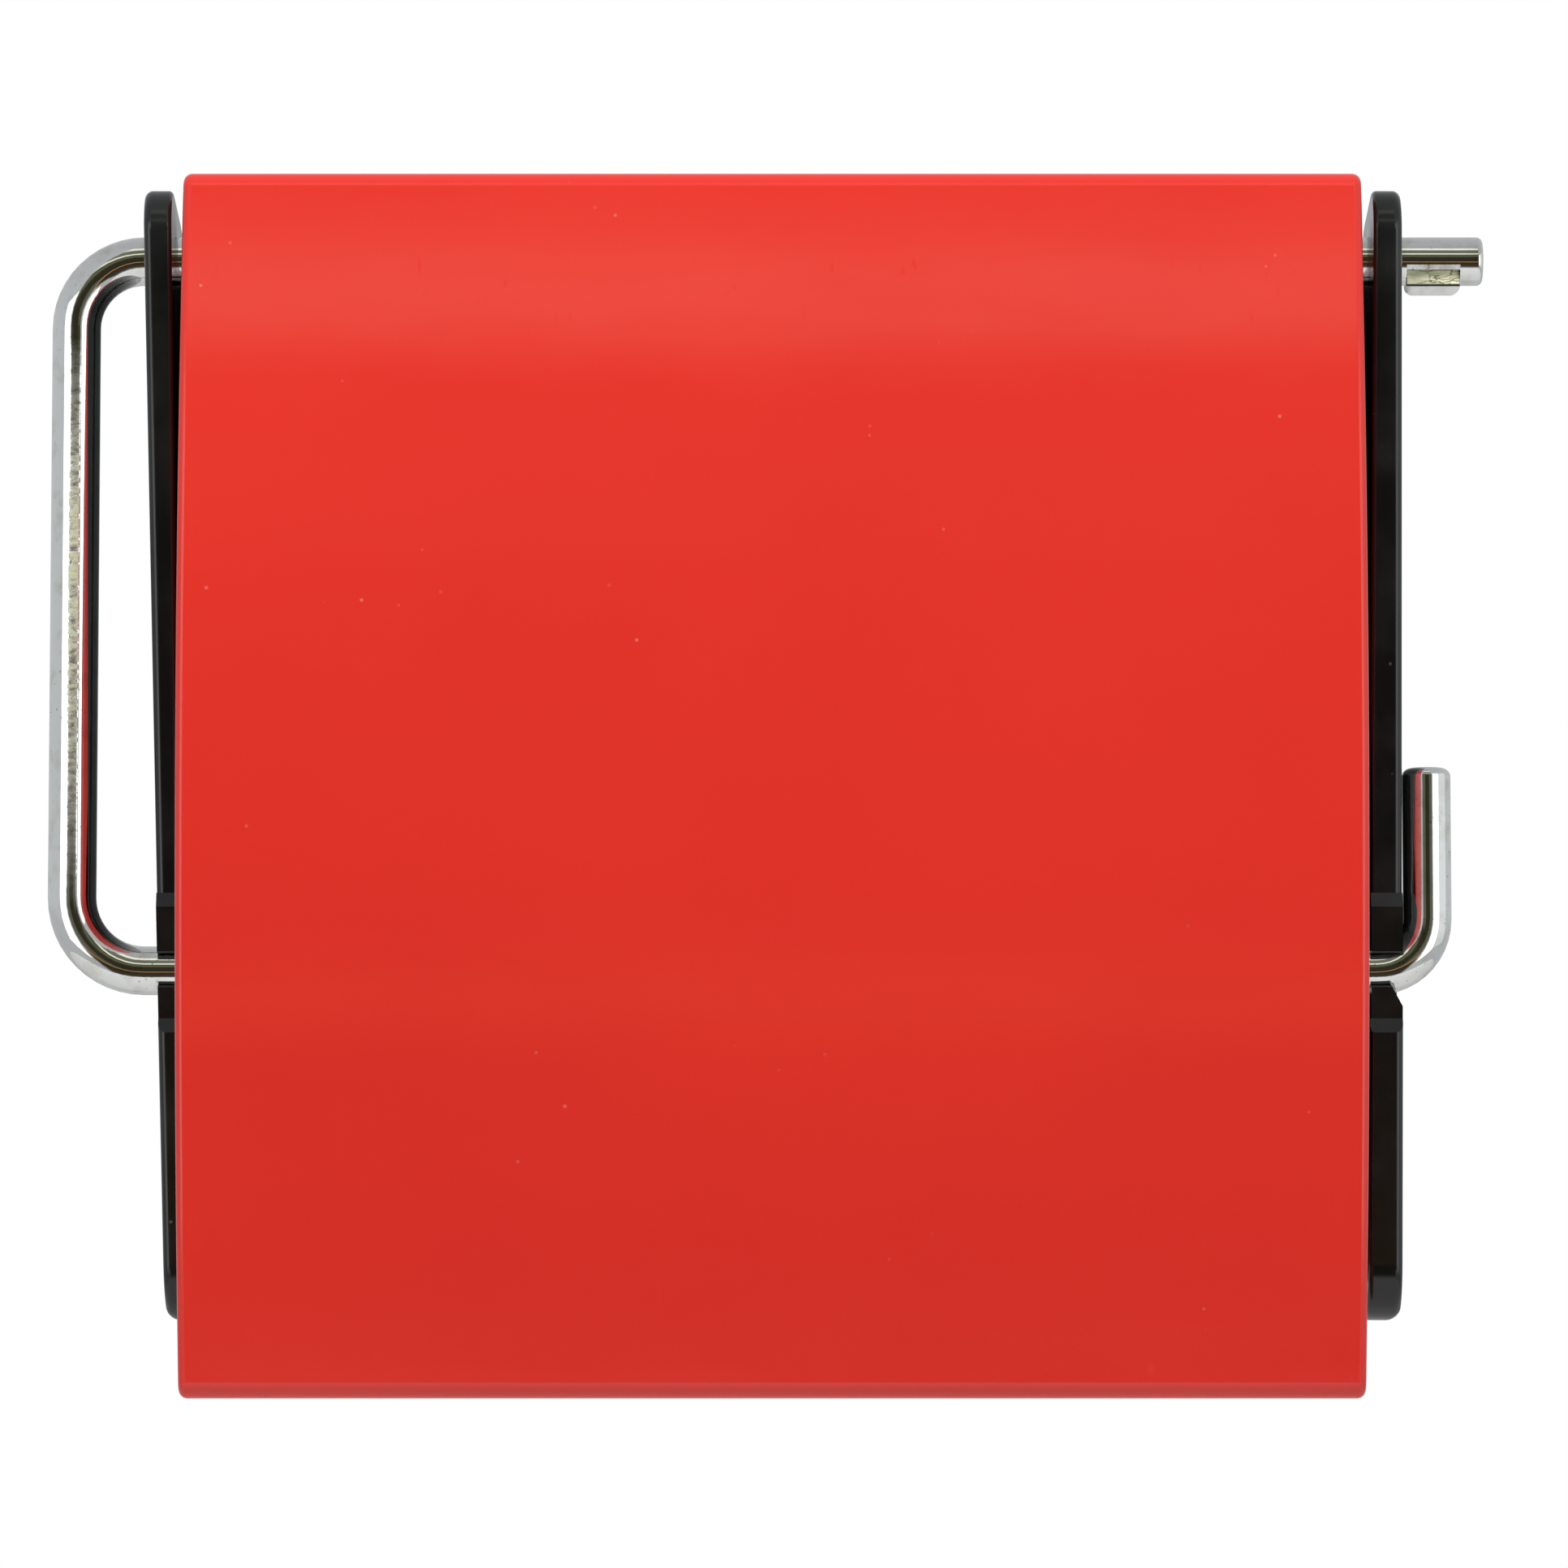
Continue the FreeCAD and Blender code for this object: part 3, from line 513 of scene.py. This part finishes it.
studio = {
    "floorHeight": -0.36,
    "floorRadius": 0.6,
    "floorColour": (0.86, 0.86, 0.85, 1),
    "floorRoughness": 0.8,
    "lampDistance": 2.2,
    "roomFill": 0.2,              # share of the room's light that falls on matt surfaces
    "cameraPlace": (0.0012, -0.856, -0.0219),
    "lens": 186.894,              # mm, on a sensor this wide
    "sensor": 36,
    "clip": (0.05, 20),
}

bpy.ops.mesh.primitive_circle_add(vertices=96, radius=studio["floorRadius"], fill_type="NGON",
                                  location=(0, 0, studio["floorHeight"]))
floor = bpy.context.object
floor.name = "paleFloor"
pale, shader = newMaterial("paleFloor")
shader.inputs["Base Color"].default_value = studio["floorColour"]
shader.inputs["Roughness"].default_value = studio["floorRoughness"]
floor.data.materials.append(pale)


def softbox(name, azimuth, elevation, size, watts, mirrored=True, lights=True):
    # azimuth 0 stands in front of the object, 90 on its right
    lamp = bpy.data.lights.new(name, "AREA")
    lamp.shape = "RECTANGLE"
    lamp.size, lamp.size_y = size
    lamp.energy = watts
    made = bpy.data.objects.new(name, lamp)
    bpy.context.scene.collection.objects.link(made)
    turn, rise = math.radians(azimuth), math.radians(elevation)
    level = math.cos(rise)
    place = Vector((math.sin(turn) * level, -math.cos(turn) * level, math.sin(rise)))
    made.location = place * studio["lampDistance"]
    made.rotation_euler = place.to_track_quat("Z", "Y").to_euler()
    made.visible_camera = False
    made.visible_glossy = mirrored
    made.visible_diffuse = lights


softbox("leftKey", -38, 50, (0.9, 0.9), 26, mirrored=False)
softbox("rightKey", 38, 50, (0.9, 0.9), 26, mirrored=False)
softbox("leftPanel", -42, 4, (1.1, 1.7), 7.5)
softbox("rightPanel", 42, 4, (1.1, 1.7), 7.5)
softbox("rightWing", 76, 4, (1.5, 1.7), 2.2, lights=False)


def ramp(tree, source, low, high, stops):
    made = addNode(tree, "ShaderNodeValToRGB")
    tree.links.new(mapRange(tree, source, low, high, 0, 1), made.inputs["Fac"])
    made.color_ramp.interpolation = "LINEAR"
    elements = made.color_ramp.elements
    while len(elements) > 1:
        elements.remove(elements[0])
    for count, (at, colour) in enumerate(stops):
        place = (at - low) / (high - low)
        stop = elements.new(place) if count else elements[0]
        stop.position = place
        stop.color = (*colour, 1)
    return made.outputs["Color"]


room = {
    # what the chrome mirrors straight in front: degrees above level, colour
    "front": [
        (-90, (0.42, 0.43, 0.44)),      # pale floor
        (-33, (0.50, 0.51, 0.52)),
        (-28, (0.10, 0.095, 0.08)),     # dark front of a table
        (-24, (0.05, 0.042, 0.03)),
        (-7, (0.03, 0.026, 0.018)),
        (-6, (0.50, 0.24, 0.08)),       # its edge, lit orange
        (-4, (0.50, 0.24, 0.08)),
        (-3, (0.030, 0.026, 0.018)),    # unlit room behind it
        (14, (0.035, 0.032, 0.018)),
        (18.5, (0.045, 0.044, 0.025)),
        (20.5, (0.14, 0.14, 0.09)),
        (30, (0.08, 0.08, 0.05)),
        (31.3, (0.95, 0.95, 0.75)),     # first cream strip light
        (35.8, (0.95, 0.95, 0.75)),
        (37, (0.16, 0.17, 0.13)),
        (51.5, (0.17, 0.18, 0.14)),
        (53, (1.0, 1.0, 0.85)),         # second cream strip light
        (61.5, (1.0, 1.0, 0.85)),
        (63, (0.42, 0.43, 0.43)),       # ceiling
        (90, (0.45, 0.46, 0.47)),
    ],
    # and at the sides
    "sides": [
        (-90, (0.42, 0.43, 0.44)),
        (-10, (0.50, 0.51, 0.52)),
        (0, (0.58, 0.60, 0.61)),
        (60, (0.49, 0.50, 0.51)),
        (90, (0.45, 0.46, 0.47)),
    ],
    "glow": (0.12, 0.125, 0.085),       # faint olive glow, just above level
    "glowHeight": 5,
    "glowFade": (6, 10),                # degrees from that height
    "glowStart": (7, 12),               # degrees to either side
    "frontEnd": (20, 26),               # where the front gives way to the sides
}


def roomColour(tree):
    where = addNode(tree, "ShaderNodeTexCoord")
    split = addNode(tree, "ShaderNodeSeparateXYZ")
    tree.links.new(where.outputs["Generated"], split.inputs["Vector"])
    degrees = 180 / math.pi
    rise = product(tree, calc(tree, "ARCSINE", split.outputs["Z"]), degrees)
    around = calc(tree, "ARCTAN2", split.outputs["X"], product(tree, split.outputs["Y"], -1))
    side = product(tree, calc(tree, "ABSOLUTE", around), degrees)
    near, far = room["glowFade"]
    level = mapRange(tree, away(tree, rise, room["glowHeight"]), near, far, 1, 0, True)
    aside = product(tree, level, mapRange(tree, side, *room["glowStart"], 0, 1, True))
    front = mixColour(tree, aside, ramp(tree, rise, -90, 90, room["front"]), room["glow"])
    sides = ramp(tree, rise, -90, 90, room["sides"])
    return mixColour(tree, mapRange(tree, side, *room["frontEnd"], 0, 1, True), front, sides)


world = bpy.data.worlds.new("studio")
bpy.context.scene.world = world
world.use_nodes = True
tree = world.node_tree
tree.nodes.clear()
out = addNode(tree, "ShaderNodeOutputWorld")
lit = addNode(tree, "ShaderNodeBackground")
tree.links.new(roomColour(tree), lit.inputs["Color"])
path = addNode(tree, "ShaderNodeLightPath")
held = product(tree, path.outputs["Is Diffuse Ray"], 1 - studio["roomFill"])
tree.links.new(calc(tree, "SUBTRACT", 1, held), lit.inputs["Strength"])
white = addNode(tree, "ShaderNodeBackground", Strength=1.0)     # what shows behind the object
white.inputs["Color"].default_value = (1, 1, 1, 1)
either = addNode(tree, "ShaderNodeMixShader")
tree.links.new(path.outputs["Is Camera Ray"], either.inputs["Fac"])
tree.links.new(lit.outputs["Background"], either.inputs[1])
tree.links.new(white.outputs["Background"], either.inputs[2])
tree.links.new(either.outputs["Shader"], out.inputs["Surface"])

camera = bpy.data.cameras.new("camera")
camera.lens = studio["lens"]
camera.sensor_width = studio["sensor"]
camera.clip_start, camera.clip_end = studio["clip"]
holder = bpy.data.objects.new("camera", camera)
bpy.context.scene.collection.objects.link(holder)
holder.location = studio["cameraPlace"]
holder.rotation_euler = (math.radians(90), 0, 0)     # looking level
bpy.context.scene.camera = holder
bpy.context.scene.view_settings.view_transform = "Standard"
print("studio done")
